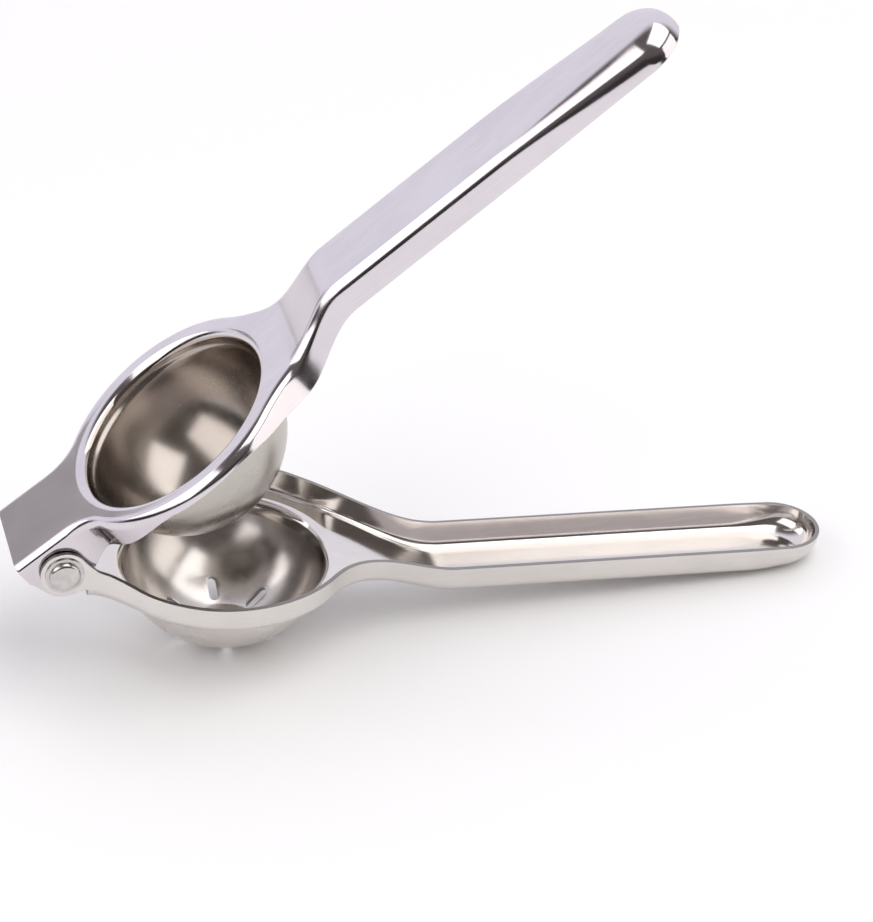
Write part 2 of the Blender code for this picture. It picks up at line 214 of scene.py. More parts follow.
def half_width(arm, x):
    """Half the arm's width in plan at x."""
    start, nose_in, neck_in, end = blend_points(arm)
    nose, blend = arm["nose_half"], arm["nose_blend"]
    if x <= start:
        return nose
    if x < nose_in:
        return nose + blend - math.sqrt(blend ** 2 - (x - start) ** 2)
    if x < neck_in:
        return math.sqrt(BULGE_R ** 2 - (x - BULGE_X) ** 2)
    if x < end:
        return HANDLE_HALF + NECK_BLEND - math.sqrt(NECK_BLEND ** 2 - (x - end) ** 2)
    return HANDLE_HALF


def even_stops(arm, x0, x1, count):
    """x positions that are evenly spaced along the outline between x0 and x1."""
    fine = 600
    xs = [mix(x0, x1, k / fine) for k in range(fine + 1)]
    run = [0.0]
    for a, b in zip(xs, xs[1:]):
        run.append(run[-1] + math.hypot(b - a, half_width(arm, b) - half_width(arm, a)))
    stops = []
    j = 0
    for k in range(count + 1):
        target = run[-1] * k / count
        while j < fine - 1 and run[j + 1] < target:
            j += 1
        stops.append(mix(xs[j], xs[j + 1], (target - run[j]) / (run[j + 1] - run[j])))
    return stops


def stations(arm):
    """(x, y, nx, ny) round half the outline, and the indexes where the bulge starts and ends."""
    front_steps = round((FRONT_ROW_X - arm["start"]) / NOSE_STEP)
    front = even_stops(arm, arm["start"], FRONT_ROW_X, front_steps)
    bulge = even_stops(arm, FRONT_ROW_X, REAR_ROW_X, BULGE_STEPS)
    neck = even_stops(arm, REAR_ROW_X, NECK_END_X, NECK_STEPS)
    tip = arm["end"] - HANDLE_HALF
    handle = even_stops(arm, NECK_END_X, tip, HANDLE_STEPS)
    points = []
    for x in front + bulge[1:] + neck[1:] + handle[1:]:
        rise = half_width(arm, x + SLOPE_STEP) - half_width(arm, x - SLOPE_STEP)
        slope = rise / (2.0 * SLOPE_STEP)
        length = math.hypot(slope, 1.0)
        points.append((x, half_width(arm, x), -slope / length, 1.0 / length))
    for k in range(1, TIP_STEPS + 1):
        angle = math.radians(90.0 - 90.0 * k / TIP_STEPS)
        nx, ny = math.cos(angle), math.sin(angle)
        points.append((tip + HANDLE_HALF * nx, HANDLE_HALF * ny, nx, ny))
    return points, len(front) - 1, len(front) - 1 + BULGE_STEPS


# ---- side profile -------------------------------------------------------------------------
def face_height(arm, x):
    """Plate face to the hinge axis, along the arm."""
    neck0, neck1, rise = arm["neck"]
    height = arm["plate"] + rise * ease(x, neck0, neck1)
    past = x - 0.5 * (neck0 + neck1)
    if past < -NECK_SOFT:
        over = 0.0
    elif past < NECK_SOFT:
        over = (past + NECK_SOFT) ** 2 / (4.0 * NECK_SOFT)
    else:
        over = past
    lip = arm["lip"] * (1.0 - ease(x, arm["start"], arm["start"] + LIP_RUN))
    return height + over * math.tan(math.radians(arm["flare"])) - lip


def fold_radius(arm, x):
    """Outer radius of the fold, which grows along the neck and towards the handle end."""
    run, growth = arm["swell"]
    body = mix(arm["front_fold"], FOLD_R, ease(x, *FOLD_RUN))
    neck = FOLD_GROWTH * ease(x, *FOLD_NECK_RUN)
    return body + neck + growth * ease(x, arm["end"] - run, arm["end"] - SWELL_END)


def draft(x):
    """Lean of the wall from upright, in radians."""
    return math.radians(DRAFT * ease(x, *DRAFT_RUN))


def arc_height(radius, x):
    """Height of an ear's round end at x, on the far side of the hinge axis from the plate."""
    return -math.sqrt(radius ** 2 - x * x)


def press_edge(x):
    """Height of the free edge of the press arm's walls."""
    if x < -EAR_FRONT:
        return mix(NOSE_EDGE, arc_height(EAR_R, EAR_FRONT), ease(x, PRESS["start"], -EAR_FRONT))
    if x < EAR_REAR:
        return arc_height(EAR_R, x)
    ear_end = CUT_START[0]
    if x < ear_end:
        along = (x - EAR_REAR) / (ear_end - EAR_REAR)
        return mix(arc_height(EAR_R, EAR_REAR), face_height(PRESS, ear_end) - PRESS_WALL, along)
    shallow = ease(x, *CUT_START) * (1.0 - ease(x, *CUT_STOP))
    handle = PRESS_WALL_HANDLE * ease(x, *PRESS_HANDLE_RUN)
    return face_height(PRESS, x) - (PRESS_WALL - PRESS_WALL_CUT * shallow - handle)


def bowl_edge(x):
    """Height of the free edge of the bowl arm's walls."""
    if x < LOBE_REAR:
        return arc_height(LOBE_R, x)
    ear_end = BOWL_EAR_RUN[0]
    if x < ear_end:
        low = face_height(BOWL, ear_end) - BOWL_WALL - BOWL_WALL_FRONT
        return mix(arc_height(LOBE_R, LOBE_REAR), low, ease(x, LOBE_REAR, ear_end))
    front = BOWL_WALL_FRONT * (1.0 - ease(x, *BOWL_EAR_RUN))
    handle = BOWL_WALL_HANDLE * ease(x, *BOWL_HANDLE_RUN)
    return face_height(BOWL, x) - BOWL_WALL - front - handle


def eased_edge(edge, x):
    """The wall's free edge with its corners rounded, as a blanking die leaves it."""
    reach = EDGE_EASE * ease(x, *EASE_RUN)
    steps = range(-4, 5)
    return sum(edge(x + reach * k / steps[-1]) for k in steps) / len(steps)


# ---- shells ---------------------------------------------------------------------------------
class Shell:
    """Collects the open outer skin of half an arm (y >= 0), in metres."""

    def __init__(self):
        self.mesh = bmesh.new()
        self.found = {}

    def point(self, x, y, h):
        key = (round(x, 4), round(y, 4), round(h, 4))
        if key not in self.found:
            self.found[key] = self.mesh.verts.new((x * MM, y * MM, h * MM))
        return self.found[key]

    def strip(self, first, second):
        """Quads between two equally long rows of points."""
        for k in range(len(first) - 1):
            corners = []
            for p in (first[k], first[k + 1], second[k + 1], second[k]):
                vert = self.point(*p)
                if vert not in corners:
                    corners.append(vert)
            if len(corners) > 2:
                self.mesh.faces.new(corners)


def wall_column(arm, station, edge):
    """Points from the wall's free edge up the fold to the start of the web."""
    x, y, nx, ny = station
    radius = fold_radius(arm, x)
    lean = draft(x)
    start = -radius * (1.0 - math.sin(lean))
    low = eased_edge(edge, x) - face_height(arm, x)
    offsets = []
    for k in range(WALL_ROWS):
        drop = mix(low, start, k / WALL_ROWS)
        offsets.append(((start - drop) * math.tan(lean) - radius * (1.0 - math.cos(lean)), drop))
    for k in range(FOLD_ROWS + 1):
        angle = mix(lean, math.pi / 2, k / FOLD_ROWS)
        offsets.append((-radius * (1.0 - math.cos(angle)), -radius * (1.0 - math.sin(angle))))
    return [(x + nx * out, y + ny * out, face_height(arm, x + nx * out) + drop) for out, drop in offsets]


def web_row(arm, edge_point, centre_x):
    """Points across the web, from the fold to the centre line."""
    ex, ey, _ = edge_point
    row = [edge_point]
    for k in range(1, WEB_ROWS + 1):
        t = k / WEB_ROWS
        x = mix(ex, centre_x, t)
        row.append((x, ey * (1.0 - t), face_height(arm, x)))
    return row


def cup_profile():
    """(radius, height over the plate face) of the press cup, rim to pole."""
    rows = []
    for k in range(CUP_FILLET_ROWS + 1):
        angle = math.radians(90.0 - 90.0 * k / CUP_FILLET_ROWS)
        radius = CUP_MOUTH + CUP_FILLET * (1.0 - math.cos(angle))
        rows.append((radius, -CUP_FILLET * (1.0 - math.sin(angle))))
    for k in range(1, MOUTH_ROWS):
        t = k / MOUTH_ROWS
        rows.append((mix(CUP_MOUTH, CUP_R, smooth(t)), mix(-CUP_FILLET, -CUP_DEPTH, t)))
    for k in range(CUP_ROWS):
        angle = math.radians(90.0 * k / CUP_ROWS)
        rows.append((CUP_R * math.cos(angle), -CUP_DEPTH - CUP_R * math.sin(angle)))
    return rows


def bowl_height(radius):
    """The bowl's outside over the plate face."""
    return math.sqrt(BOWL_R ** 2 - radius ** 2) - BOWL_RISE


def foot_height(u, radius, lean):
    """The bowl's outside near its foot: the sphere, cut off by the table plane. u: along the arm."""
    round_height = bowl_height(radius)
    flat_height = bowl_height(FOOT_R) + lean * u
    gap = round_height - flat_height
    if gap < -FOOT_SOFT:
        return round_height
    if gap > FOOT_SOFT:
        return flat_height
    return round_height - (gap + FOOT_SOFT) ** 2 / (4.0 * FOOT_SOFT)


def bowl_profile():
    """(radius, height over the plate face) of the bowl, rim to the cells of the juice slots."""
    reach = BOWL_R + BOWL_FILLET
    drop = BOWL_FILLET + BOWL_RISE
    centre = math.sqrt(reach ** 2 - drop ** 2)
    end = math.asin(drop / reach)
    rows = []
    for k in range(BOWL_FILLET_ROWS + 1):
        angle = mix(math.pi / 2, end, k / BOWL_FILLET_ROWS)
        rows.append((centre - BOWL_FILLET * math.cos(angle), BOWL_FILLET * (1.0 - math.sin(angle))))
    cells = math.acos(CELL_OUT / BOWL_R)
    for k in range(1, BOWL_ROWS + 1):
        radius = BOWL_R * math.cos(mix(end, cells, k / BOWL_ROWS))
        rows.append((radius, bowl_height(radius)))
    return rows


def ring(arm, radius, height, settle=0.0):
    """Half a ring of the cup or bowl. settle: how far it still follows the web."""
    points = []
    for k in range(HALF_RING + 1):
        angle = math.pi * (1.0 - k / HALF_RING)
        x = BULGE_X + radius * math.cos(angle)
        y = radius * math.sin(angle) if 0 < k < HALF_RING else 0.0
        web = face_height(arm, x) - arm["plate"]
        points.append((x, y, arm["plate"] + height + settle * web))
    return points


def foot_ring(radius, lean):
    """Half a ring of the bowl's foot."""
    points = []
    for x, y, _ in ring(BOWL, radius, 0.0):
        points.append((x, y, BOWL["plate"] + foot_height(x - BULGE_X, radius, lean)))
    return points


def slot_outline(count):
    """Points round a juice slot in its own plan frame (along, across), from its outer tip."""
    cap = 0.5 * SLOT_WIDTH
    straight = SLOT_OUT - SLOT_IN - SLOT_WIDTH
    middle = 0.5 * (SLOT_IN + SLOT_OUT)
    total = 2.0 * straight + 2.0 * math.pi * cap
    points = []
    for k in range(count):
        run = total * k / count
        if run > 0.5 * total:
            across_sign, run = -1.0, total - run
        else:
            across_sign = 1.0
        quarter = 0.5 * math.pi * cap
        if run < quarter:
            angle = run / cap
            along, across = middle + 0.5 * straight + cap * math.cos(angle), cap * math.sin(angle)
        elif run < quarter + straight:
            along, across = middle + 0.5 * straight - (run - quarter), cap
        else:
            angle = (run - quarter - straight) / cap
            along, across = middle - 0.5 * straight - cap * math.sin(angle), cap * math.cos(angle)
        points.append((along, across_sign * across))
    return points


def slot_cells(shell, arm, lean):
    """The ring of cells round the foot, each with one juice slot left open."""
    arc = 2 * HALF_RING // SLOTS
    turn = 2.0 * math.pi / SLOTS
    for cell in range(SLOTS // 2):
        axis = (cell + 0.5) * turn
        border = [(CELL_OUT, turn * k / arc) for k in range(arc // 2)]
        border += [(mix(CELL_OUT, CELL_IN, k / CELL_SIDE), 0.5 * turn) for k in range(CELL_SIDE)]
        border += [(CELL_IN, 0.5 * turn - turn * k / arc) for k in range(arc)]
        border += [(mix(CELL_IN, CELL_OUT, k / CELL_SIDE), -0.5 * turn) for k in range(CELL_SIDE)]
        border += [(CELL_OUT, -0.5 * turn + turn * k / arc) for k in range(arc // 2)]
        outline = slot_outline(len(border))
        layers = []
        for layer in range(CELL_LAYERS + 1):
            t = layer / CELL_LAYERS
            loop = []
            for (along, across), (radius, angle) in zip(outline, border):
                u = mix(along, radius * math.cos(angle), t)
                v = mix(across, radius * math.sin(angle), t)
                x = u * math.cos(axis) - v * math.sin(axis)
                y = u * math.sin(axis) + v * math.cos(axis)
                y = 0.0 if abs(y) < 1e-6 else y
                loop.append((BULGE_X + x, y, arm["plate"] + foot_height(x, math.hypot(u, v), lean)))
            layers.append(loop + loop[:1])
        for inner, outer in zip(layers, layers[1:]):
            shell.strip(inner, outer)


def arm_shell(arm, edge, profile):
    """Half an arm: wall, fold, web and the drawn cup or bowl, down to the profile's last ring."""
    shell = Shell()
    points, first, last = stations(arm)
    tip = arm["end"] - HANDLE_HALF
    columns = [wall_column(arm, station, edge) for station in points]
    for near, far in zip(columns, columns[1:]):
        shell.strip(near, far)
    edges = [column[-1] for column in columns]
    rows = [web_row(arm, edges[k], min(points[k][0], tip)) for k in range(len(points))]
    for k in range(len(points) - 1):
        if k < first or k >= last:
            shell.strip(rows[k], rows[k + 1])
    block = list(reversed(rows[first])) + edges[first + 1:last] + rows[last]
    mouth = ring(arm, *profile[0], settle=1.0)
    layers = [block]
    for k in range(1, RIM_ROWS):
        layer = []
        for a, b in zip(block, mouth):
            x, y = mix(a[0], b[0], k / RIM_ROWS), mix(a[1], b[1], k / RIM_ROWS)
            layer.append((x, y, face_height(arm, x)))
        layers.append(layer)
    for k, (radius, height) in enumerate(profile):
        layers.append(ring(arm, radius, height, settle=1.0 - smooth(k / SETTLE_ROWS)))
    for near, far in zip(layers, layers[1:]):
        shell.strip(near, far)
    return shell


def add_ears(shell, arm, edge):
    """Flat ears of the bowl arm in front of its web, ending in a round lobe.

    The columns stand closer together towards the lobe's front.
    """
    y = arm["nose_half"]
    web_x = arm["start"]
    top = face_height(arm, web_x) - fold_radius(arm, web_x)
    xs = [-LOBE_R * math.cos(math.radians(a)) for a in range(4, 88, 7)]
    xs += [0.4, 1.2, 2.0, LOBE_TOP]
    xs += [mix(LOBE_TOP, web_x, k / EAR_STEPS) for k in range(1, EAR_STEPS + 1)]
    columns = []
    for x in xs:
        high = math.sqrt(LOBE_R ** 2 - min(x, LOBE_TOP) ** 2)
        if x > LOBE_TOP:
            high = mix(high, top, ease(x, LOBE_TOP, web_x))
        low = eased_edge(edge, x)
        columns.append([(x, y, mix(low, high, k / WALL_ROWS)) for k in range(WALL_ROWS + 1)])
    for near, far in zip(columns, columns[1:]):
        shell.strip(near, far)


def link(obj):
    bpy.context.scene.collection.objects.link(obj)
    return obj


def placed_mesh(name, bm, matrix, mat):
    """Object at the origin whose vertices stand where the matrix puts them."""
    bmesh.ops.transform(bm, matrix=matrix, verts=bm.verts)
    mesh = bpy.data.meshes.new(name)
    bm.to_mesh(mesh)
    bm.free()
    mesh.materials.append(mat)
    return link(bpy.data.objects.new(name, mesh))


def cut_bores(obj, hinge):
    """Opens the rivet's bores through both ears."""
    bm = bmesh.new()
    across = Matrix.Translation(hinge) @ Matrix.Rotation(math.pi / 2, 4, "X")
    bmesh.ops.create_cone(bm, cap_ends=True, segments=BORE_STEPS, radius1=BORE_R * MM,
                          radius2=BORE_R * MM, depth=CUTTER_LENGTH * MM, matrix=across)
    mesh = bpy.data.meshes.new(obj.name + "_bore")
    bm.to_mesh(mesh)
    bm.free()
    cutter = bpy.data.objects.new(obj.name + "_bore", mesh)
    hidden = bpy.data.collections.get("cutters") or bpy.data.collections.new("cutters")
    hidden.objects.link(cutter)
    modifier = obj.modifiers.new("bores", "BOOLEAN")
    modifier.operation = "DIFFERENCE"
    modifier.solver = "EXACT"
    modifier.object = cutter


def sheet_piece(name, shell, flip, matrix, mat, edge_mat):
    """Mirrors the half skin, gives it the sheet's thickness and rounds every cut edge.

    flip: the arm's face looks down, as the bowl's does.
    """
    bm = shell.mesh
    bmesh.ops.remove_doubles(bm, verts=bm.verts, dist=WELD * MM)
    if flip:
        for vert in bm.verts:
            vert.co.z = -vert.co.z
    bmesh.ops.recalc_face_normals(bm, faces=bm.faces)
    end = max(bm.faces, key=lambda face: face.calc_center_median().x)
    if end.normal.x < 0.0:
        bmesh.ops.reverse_faces(bm, faces=bm.faces)
    for face in bm.faces:
        face.smooth = True
    obj = placed_mesh(name, bm, matrix, mat)
    obj.data.materials.append(edge_mat)
    mirror = obj.modifiers.new("mirror", "MIRROR")
    mirror.use_axis = (False, True, False)
    mirror.use_clip = True
    mirror.merge_threshold = MIRROR_WELD * MM
    solid = obj.modifiers.new("sheet", "SOLIDIFY")
    solid.thickness = SHEET * MM
    solid.offset = -1.0
    solid.use_even_offset = True
    solid.material_offset_rim = 1
    bevel = obj.modifiers.new("edges", "BEVEL")
    bevel.width = EDGE_ROUND * MM
    bevel.segments = EDGE_SEGMENTS
    bevel.limit_method = "ANGLE"
    bevel.angle_limit = math.radians(EDGE_ANGLE)
    bevel.material = 0
    weighted = obj.modifiers.new("normals", "WEIGHTED_NORMAL")
    weighted.keep_sharp = True
    return obj


def turned_piece(name, profile, matrix, mat):
    """Solid of revolution about the hinge axis from a (radius, y) profile.

    A profile that starts on the axis also ends there; any other one closes on itself.
    """
    bm = bmesh.new()
    rings = []
    for radius, y in profile:
        if radius == 0.0:
            rings.append([bm.verts.new((0.0, y * MM, 0.0))] * TURNED_STEPS)
            continue
        loop = []
        for k in range(TURNED_STEPS):
            angle = 2.0 * math.pi * k / TURNED_STEPS
            x, z = radius * math.cos(angle), radius * math.sin(angle)
            loop.append(bm.verts.new((x * MM, y * MM, z * MM)))
        rings.append(loop)
    if profile[0][0] > 0.0:
        rings.append(rings[0])
    for near, far in zip(rings, rings[1:]):
        for k in range(TURNED_STEPS):
            after = (k + 1) % TURNED_STEPS
            corners = []
            for vert in (near[k], near[after], far[after], far[k]):
                if vert not in corners:
                    corners.append(vert)
            face = bm.faces.new(corners)
            face.smooth = True
    bmesh.ops.recalc_face_normals(bm, faces=bm.faces)
    obj = placed_mesh(name, bm, matrix, mat)
    weighted = obj.modifiers.new("normals", "WEIGHTED_NORMAL")
    weighted.keep_sharp = True
    return obj


def rivet_profile(inner, outer):
    """Head, shank, head. The head is a low dome with a rolled shoulder."""
    rows = []
    for k in range(HEAD_ROWS + 1):
        t = k / HEAD_ROWS
        rows.append((DOME_R * t, outer - DOME_DROP * t * t))
    for k in range(1, SHOULDER_ROWS + 1):
        angle = math.radians(90.0 * k / SHOULDER_ROWS)
        drop = DOME_DROP + SHOULDER_DROP * (1.0 - math.cos(angle))
        rows.append((DOME_R + SHOULDER_WIDTH * math.sin(angle), outer - drop))
    rows += [(HEAD_R, inner + HEAD_CHAMFER), (HEAD_R - HEAD_CHAMFER, inner)]
    rows += [(PIN_R + SHANK_CHAMFER, inner), (PIN_R, inner - SHANK_CHAMFER)]
    return rows + [(radius, -y) for radius, y in reversed(rows)]


def tube_profile(bore, radius, y0, y1, rounding):
    """Section of a washer or sleeve, each corner rounded."""
    corners = [Vector(corner) for corner in ((radius, y1), (radius, y0), (bore, y0), (bore, y1))]
    points = []
    for k, here in enumerate(corners):
        a = here + (corners[k - 1] - here).normalized() * rounding
        b = here + (corners[(k + 1) % len(corners)] - here).normalized() * rounding
        for step in range(ROUND_STEPS + 1):
            t = step / ROUND_STEPS
            point = a.lerp(here, t).lerp(here.lerp(b, t), t)
            points.append((point.x, point.y))
    return points


# ---- materials --------------------------------------------------------------------------------
class Nodes:
    """Short calls for building the node tree of a material or of the world."""

    def __init__(self, owner, matrix=None):
        owner.use_nodes = True
        self.owner = owner
        self.tree = owner.node_tree
        if matrix is not None:
            place = self.add("ShaderNodeTexCoord")
            into = self.add("ShaderNodeMapping", vector_type="TEXTURE")
            into.inputs["Location"].default_value = matrix.to_translation()
            into.inputs["Rotation"].default_value = matrix.to_euler()
            self.wire(place.outputs["Object"], into.inputs["Vector"])
            self.local = into.outputs["Vector"]

    def add(self, kind, **values):
        node = self.tree.nodes.new(kind)
        for key, value in values.items():
            if key in node.inputs:
                node.inputs[key].default_value = value
            else:
                setattr(node, key, value)
        return node

    def wire(self, output, target):
        self.tree.links.new(output, target)

    def axes(self, vector):
        """The x, y and z of a vector, by name."""
        split = self.add("ShaderNodeSeparateXYZ")
        self.wire(vector, split.inputs["Vector"])
        return split.outputs

    def noise(self, scale, detail=3.0, rough=0.5):
        """Noise in the piece's own frame. scale: features per metre along each axis."""
        mapping = self.add("ShaderNodeMapping")
        mapping.inputs["Scale"].default_value = scale
        self.wire(self.local, mapping.inputs["Vector"])
        node = self.add("ShaderNodeTexNoise", Scale=1.0, Detail=detail, Roughness=rough)
        self.wire(mapping.outputs["Vector"], node.inputs["Vector"])
        return node.outputs["Fac"]

    def ramp(self, value, low, high, out_low=0.0, out_high=1.0):
        node = self.add("ShaderNodeMapRange", interpolation_type="SMOOTHSTEP")
        ends = {"From Min": low, "From Max": high, "To Min": out_low, "To Max": out_high}
        for key, number in ends.items():
            node.inputs[key].default_value = number
        self.wire(value, node.inputs["Value"])
        return node.outputs["Result"]

    def math(self, operation, *values):
        node = self.add("ShaderNodeMath", operation=operation)
        for slot, value in enumerate(values):
            if isinstance(value, (int, float)):
                node.inputs[slot].default_value = value
            else:
                self.wire(value, node.inputs[slot])
        return node.outputs[0]

    def blend(self, factor, first, second):
        """Mix of two colours, each given as three numbers or as a node's output."""
        node = self.add("ShaderNodeMix", data_type="RGBA")
        self.wire(factor, node.inputs["Factor"])
        for key, colour in (("A", first), ("B", second)):
            if isinstance(colour, bpy.types.NodeSocket):
                self.wire(colour, node.inputs[key])
            else:
                node.inputs[key].default_value = (*colour, 1.0)
        return node.outputs["Result"]

    def bump(self, height, strength, distance, normal=None):
        node = self.add("ShaderNodeBump", Strength=strength, Distance=distance)
        self.wire(height, node.inputs["Height"])
        if normal is not None:
            self.wire(normal, node.inputs["Normal"])
        return node.outputs["Normal"]

    def metal(self, roughness, colour, normal):
        """Wires a bare metal surface and returns its material."""
        shader = self.tree.nodes["Principled BSDF"]
        shader.inputs["Metallic"].default_value = 1.0
        for key, output in (("Roughness", roughness), ("Base Color", colour), ("Normal", normal)):
            self.wire(output, shader.inputs[key])
        return self.owner


def sheet_steel(name, matrix, colours, centre, plane, inside, polish, satin, side):
    """Polished sheet: brushed along the arm, satin where it is drawn, wiped and lightly scratched.

    colours: of the sheet, of the drawn part outside, and of the hollow inside, which is painted shade.
    centre: centre of the drawn part's sphere; plane: height of the plate face.
    inside: radius of the sphere within which the hollow takes that painted shade. All three are in
    metres.
    polish, satin: roughness of the sheet and of the drawn part.
    side: 1 where the arm's face looks up, -1 where it looks down.
    """
    n = Nodes(bpy.data.materials.new(name), matrix)
    brushed = n.noise((30.0, 2600.0, 2600.0), 2.0, 0.6)
    smears = n.noise((60.0, 90.0, 90.0), 4.0, 0.55)
    waves = n.noise((26.0, 40.0, 40.0), 1.0)
    along = n.ramp(n.noise((140.0, 5200.0, 1500.0), 1.0), 0.72, 0.80)
    across = n.ramp(n.noise((3600.0, 190.0, 1500.0), 1.0), 0.75, 0.82)
    scratches = n.math("MAXIMUM", along, across)

    measure = n.add("ShaderNodeVectorMath", operation="DISTANCE")
    n.wire(n.local, measure.inputs[0])
    measure.inputs[1].default_value = centre
    distance = measure.outputs["Value"]
    below = n.ramp(n.math("SUBTRACT", plane, n.axes(n.local)["Z"]), *BELOW_PLATE)
    drawn = n.math("MULTIPLY", n.ramp(distance, *DRAWN_REACH), below)
    # painted shade: the hollow of the cup or bowl, and the cup's mouth fillet, get a darker copy of the
    # steel
    mouth = n.math("MULTIPLY", n.ramp(distance, *MOUTH_SHADE_REACH), n.math("SUBTRACT", 1.0, below))
    shaded_hollow = n.ramp(distance, inside + SHADE_SOFT, inside - SHADE_SOFT)
    shaded_hollow = n.math("MAXIMUM", shaded_hollow, mouth)

    plain_gloss = n.ramp(smears, 0.3, 0.75, polish - 0.02, polish + 0.05)
    satin_gloss = n.ramp(smears, 0.3, 0.75, satin - 0.03, satin + 0.05)
    gloss = n.math("ADD", n.math("MULTIPLY", plain_gloss, n.math("SUBTRACT", 1.0, drawn)),
                   n.math("MULTIPLY", satin_gloss, drawn))
    gloss = n.math("ADD", gloss, n.math("MULTIPLY", n.math("SUBTRACT", brushed, 0.5), 0.06))
    gloss = n.math("ADD", gloss, n.math("MULTIPLY", scratches, 0.05))
    gloss = n.math("SUBTRACT", gloss, n.math("MULTIPLY", shaded_hollow, 0.05))

    tone = n.math("ADD", n.math("MULTIPLY", smears, 0.6), n.math("MULTIPLY", brushed, 0.4))
    tone = n.ramp(tone, 0.35, 0.68)
    # outer, on the press cup, carries a painted beige reflection
    plain, outer, inner = (n.blend(tone, [0.92 * c for c in colour], colour) for colour in colours)
    # inner, the colour the hollow takes here, is painted shade
    colour = n.blend(shaded_hollow, n.blend(drawn, plain, outer), inner)

    normal = n.bump(waves, 0.15, 0.00005 * side)
    normal = n.bump(brushed, 0.10, 0.000003, normal)
    normal = n.bump(scratches, 0.08, -0.000003, normal)
    return n.metal(gloss, colour, normal)


def cut_edge(name, matrix):
    """Sheared edge of the sheet: dull, darker, with the fine lines of the blanking die across it."""
    n = Nodes(bpy.data.materials.new(name), matrix)
    lines = n.noise((2400.0, 2400.0, 500.0), 3.0, 0.6)
    gloss = n.ramp(lines, 0.3, 0.7, 0.34, 0.50)
    return n.metal(gloss, n.blend(lines, SHEARED_DARK, SHEARED_PALE), n.bump(lines, 0.3, 0.00002))


def turned_steel(name, matrix, colour):
    """Turned and peened rivet steel: fine rings round the hinge axis and hammer-soft patches."""
    n = Nodes(bpy.data.materials.new(name), matrix)
    place = n.axes(n.local)
    squares = [n.math("MULTIPLY", place[axis], place[axis]) for axis in "XZ"]
    radius = n.math("SQRT", n.math("ADD", *squares))
    rings = n.math("SINE", n.math("MULTIPLY", radius, 36000.0))
    patches = n.noise((420.0, 420.0, 420.0), 3.0)
    grain = n.noise((3000.0, 3000.0, 3000.0), 2.0)
    gloss = n.math("ADD", n.ramp(patches, 0.3, 0.7, 0.12, 0.20), n.math("MULTIPLY", grain, 0.06))
    tone = n.blend(n.ramp(patches, 0.3, 0.7), [0.82 * c for c in colour], colour)
    normal = n.bump(patches, 0.25, 0.00006)
    normal = n.bump(rings, 0.12, 0.000004, normal)
    return n.metal(gloss, tone, normal)


# ---- the object ---------------------------------------------------------------------------------
PRESS_COLOUR = (0.71, 0.665, 0.70)
# outside of the press cup: satin drawn steel, darkened and tinted beige as a painted reflection of its
# surroundings
DOME_STEEL_AND_REFLECTION = (0.55, 0.52, 0.48)
# inside of the press cup: the same steel, darker and browner, as painted shade and painted reflection
CUP_INSIDE_SHADE = (0.47, 0.42, 0.38)
BOWL_COLOUR = (0.76, 0.725, 0.70)
# inside of the bowl: the same steel, darker, as painted shade
BOWL_INSIDE_SHADE = (0.60, 0.56, 0.53)
PIN_COLOUR = (0.66, 0.63, 0.62)
SHEARED_DARK = (0.20, 0.19, 0.18)
SHEARED_PALE = (0.40, 0.38, 0.37)
BELOW_PLATE = (0.0025, 0.0030)      # depth under the plate face where the drawn part starts, metres
DRAWN_REACH = (0.0312, 0.0300)      # distance from its sphere's centre where the satin and the dome's painted reflection set in
MOUTH_SHADE_REACH = (0.0287, 0.0285)      # and where the mouth takes the painted shade of the inside
CUP_SHADE_SPHERE = 0.02797                 # sphere inside which the cup's steel takes its painted shade
# sphere inside which the bowl's steel takes its painted shade
BOWL_SHADE_SPHERE = 0.0289
SHADE_SOFT = 0.00006


def rest_tilt():
    """Tilt that stands the bowl's foot and the handle's heel on one level plane."""
    neck0, neck1, rise = BOWL["neck"]
    heel_x = BOWL["end"] - fold_radius(BOWL, BOWL["end"])
    run = heel_x - 0.5 * (neck0 + neck1)
    heel = BOWL["plate"] + rise + run * math.tan(math.radians(BOWL["flare"]))
    return math.atan2(BOWL["plate"] + bowl_height(FOOT_R) - heel, heel_x - BULGE_X)


def press_arm(matrix):
    """The upper arm with its cup."""
    plate = PRESS["plate"]
    shell = arm_shell(PRESS, press_edge, cup_profile())
    pole = [(BULGE_X, 0.0, plate - CUP_DEPTH - CUP_R)] * (HALF_RING + 1)
    shell.strip(ring(PRESS, *cup_profile()[-1]), pole)
    steel = sheet_steel("press_steel", matrix, (PRESS_COLOUR, DOME_STEEL_AND_REFLECTION, CUP_INSIDE_SHADE),
                        centre=(BULGE_X * MM, 0.0, (plate - CUP_DEPTH) * MM), plane=plate * MM,
                        inside=CUP_SHADE_SPHERE, polish=0.11, satin=0.28, side=1.0)
    sheared = cut_edge("press_cut_edge", matrix)
    return sheet_piece("press_arm_sheet", shell, False, matrix, steel, sheared)


def bowl_arm(matrix, tilt):
    """The lower arm with its bowl, juice slots, flat foot and ears."""
    plate = BOWL["plate"]
    shell = arm_shell(BOWL, bowl_edge, bowl_profile())
    lean = -math.tan(tilt)
    slot_cells(shell, BOWL, lean)
    foot = [foot_ring(radius, lean) for radius in FOOT_RINGS]
    foot.append([(BULGE_X, 0.0, plate + bowl_height(FOOT_R))] * (HALF_RING + 1))
    for near, far in zip(foot, foot[1:]):
        shell.strip(near, far)
    add_ears(shell, BOWL, bowl_edge)
    steel = sheet_steel("bowl_steel", matrix, (BOWL_COLOUR, BOWL_COLOUR, BOWL_INSIDE_SHADE),
                        centre=(BULGE_X * MM, 0.0, (BOWL_RISE - plate) * MM), plane=-plate * MM,
                        inside=BOWL_SHADE_SPHERE, polish=0.12, satin=0.26, side=-1.0)
    sheared = cut_edge("bowl_cut_edge", matrix)
    return sheet_piece("bowl_arm_sheet", shell, True, matrix, steel, sheared)


